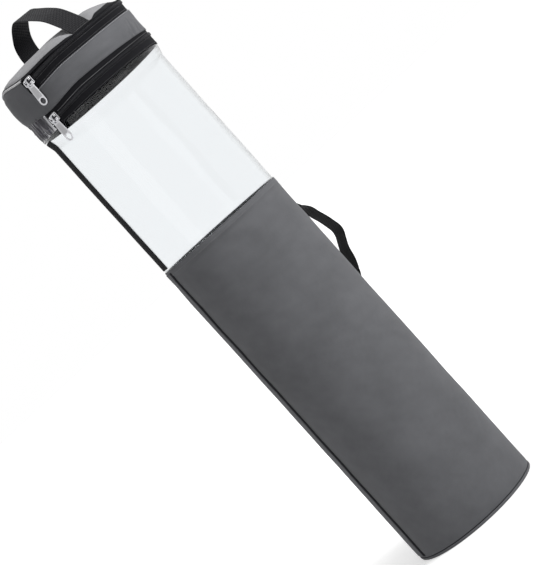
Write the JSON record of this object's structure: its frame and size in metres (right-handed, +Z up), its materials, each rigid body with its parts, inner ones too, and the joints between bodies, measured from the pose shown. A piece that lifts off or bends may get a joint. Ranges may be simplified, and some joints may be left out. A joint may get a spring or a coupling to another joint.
{
  "type": "gift wrap organizer",
  "caption": "Upright soft storage tube with a fabric sleeve, a clear window, a zipped lid that is itself a zipped pocket, and webbing handles on its top and side.",
  "frame": {"origin": "centre of the base, on the floor", "axes": "+Z up along the tube; +Y towards the hinge of the lid and of the pocket's flap; -Y towards the side handle; the top handle runs along X"},
  "size_m": [0.2488, 0.2809, 1.0964],
  "materials": {
    "grey_fabric": "woven polyester, mid grey, matte",
    "light_fabric": "woven polyester, light grey, matte",
    "black_fabric": "woven zipper tape and binding, black",
    "webbing": "ribbed webbing, black",
    "zipper_coil": "moulded coil, black",
    "clear_film": "clear flexible film",
    "stiffener_board": "plain sheet board",
    "zipper_metal": "plated zipper metal"
  },
  "bodies": {
    "tube": {"sleeve": "grey_fabric", "sleeve_seam": "grey_fabric", "base_panel": "grey_fabric", "base_stiffener": "stiffener_board", "base_binding": "black_fabric", "window": "clear_film", "window_seam_strip": "black_fabric", "lid_zip_lower_tape": "black_fabric", "lid_zip_lower_coil": "zipper_coil", "lid_zip_start_stop": "zipper_metal", "lid_zip_end_stop": "zipper_metal", "mouth_gusset": "clear_film", "side_handle_upper_end": "webbing", "side_handle_lower_end": "webbing"},
    "lid": {"lid_wall": "grey_fabric", "lid_floor": "black_fabric", "lid_zip_upper_tape": "black_fabric", "lid_zip_upper_coil": "zipper_coil", "lid_gusset": "clear_film", "pocket_back_panel": "grey_fabric", "pocket_zip_lower_tape": "black_fabric", "pocket_zip_lower_coil": "zipper_coil", "pocket_zip_start_stop": "zipper_metal", "pocket_zip_end_stop": "zipper_metal"},
    "flap": {"top_panel": "light_fabric", "hinge_piping": "light_fabric", "top_binding": "black_fabric", "pocket_zip_upper_tape": "black_fabric", "pocket_zip_upper_coil": "zipper_coil", "top_handle_front_end": "webbing", "top_handle_rear_end": "webbing"},
    "lid_slider": {"lid_slider": "zipper_metal"},
    "lid_pull": {"lid_pull": "zipper_metal"},
    "pocket_slider": {"pocket_slider": "zipper_metal"},
    "pocket_pull": {"pocket_pull": "zipper_metal"},
    "top_handle": {"top_handle": "webbing"},
    "side_handle": {"side_handle": "webbing"}
  },
  "joints": [
    {"name": "lid_hinge", "type": "hinge", "parent": "tube", "child": "lid", "pos_m": [0, 0.1254, 0.938], "axis": [-1, 0, 0], "range_deg": [0, 120]},
    {"name": "flap_hinge", "type": "hinge", "parent": "lid", "child": "flap", "pos_m": [0, 0.1254, 1.01505], "axis": [-1, 0, 0], "range_deg": [0, 105]},
    {"name": "lid_zip", "type": "hinge", "parent": "tube", "child": "lid_slider", "pos_m": [0, 0, 0.938], "axis": [0, 0, 1], "range_deg": [0, 310]},
    {"name": "pocket_zip", "type": "hinge", "parent": "lid", "child": "pocket_slider", "pos_m": [0, 0, 1.0075], "axis": [0, 0, 1], "range_deg": [0, 300]},
    {"name": "lid_pull_swing", "type": "hinge", "parent": "lid_slider", "child": "lid_pull", "pos_m": [-0.05374, 0.11524, 0.93555], "axis": [0.9063, 0.4226, 0], "range_deg": [-2, 100]},
    {"name": "pocket_pull_swing", "type": "hinge", "parent": "pocket_slider", "child": "pocket_pull", "pos_m": [-0.06358, 0.11012, 1.00505], "axis": [0.8648, 0.4993, 0.0523], "range_deg": [-2, 100]},
    {"name": "top_handle_swing", "type": "hinge", "parent": "flap", "child": "top_handle", "pos_m": [0, 0, 1.0376], "axis": [1, 0, 0], "range_deg": [-60, 60], "stiffness_Nm_per_rad": 0.05},
    {"name": "side_handle_swing", "type": "hinge", "parent": "tube", "child": "side_handle", "pos_m": [0, -0.1268, 0.491], "axis": [0, 0, 1], "range_deg": [-25, 25]}
  ]
}
